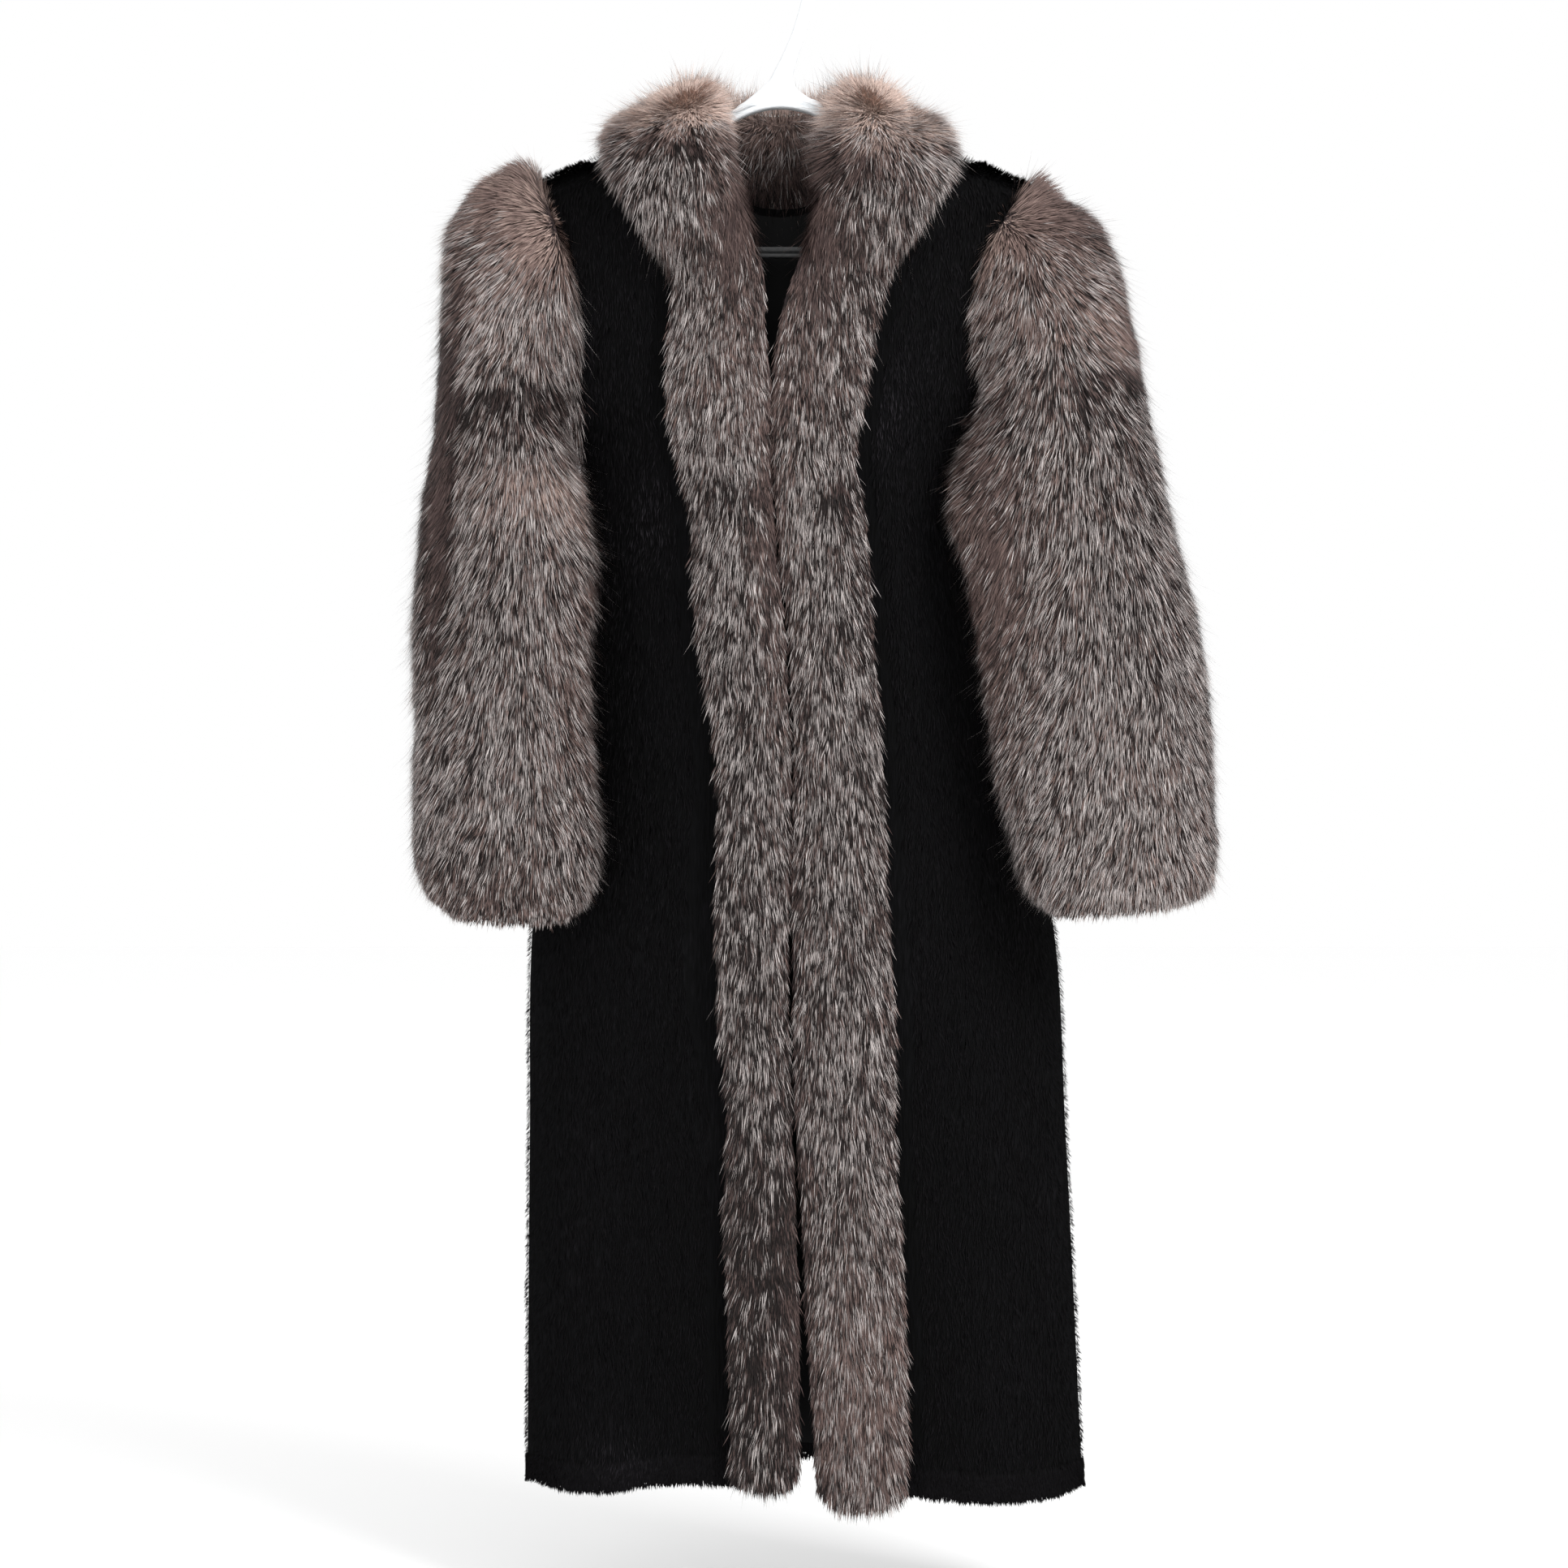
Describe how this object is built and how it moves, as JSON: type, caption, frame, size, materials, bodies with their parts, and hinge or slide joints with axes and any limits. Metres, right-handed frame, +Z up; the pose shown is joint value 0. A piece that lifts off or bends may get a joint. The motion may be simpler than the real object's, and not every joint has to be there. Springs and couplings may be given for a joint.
{
  "type": "fur coat on a hanger",
  "caption": "Full length women's coat of black mink with silver fox sleeves, front borders and rolled collar, hanging closed on a moulded plastic hanger.",
  "frame": {"origin": "top of the inside of the hanger's hook, where it rests on its rail; everything hangs below it", "axes": "+Z up, -Y is the front of the coat, +X is to the right of someone who looks at the front"},
  "size_m": [0.721, 0.2159, 1.4127],
  "materials": {
    "black_mink": "short dense fur, soft sheen",
    "black_satin": "smooth satin lining",
    "silver_fox_sleeve": "long fur, silver tips over brown-grey underfur",
    "silver_fox_border": "long fur, silver tips over dark grey underfur",
    "silver_fox_collar": "long fur, silver tips over tan underfur",
    "moulded_plastic": "white moulded plastic"
  },
  "bodies": {
    "root": {"front_left": "black_mink", "front_right": "black_mink", "back": "black_mink", "lining_back": "black_satin", "sleeve_left": "silver_fox_sleeve", "sleeve_right": "silver_fox_sleeve", "front_border_left": "silver_fox_border", "front_border_right": "silver_fox_border", "collar": "silver_fox_collar", "hanger": "moulded_plastic", "hanger_bar": "moulded_plastic"}
  },
  "joints": []
}
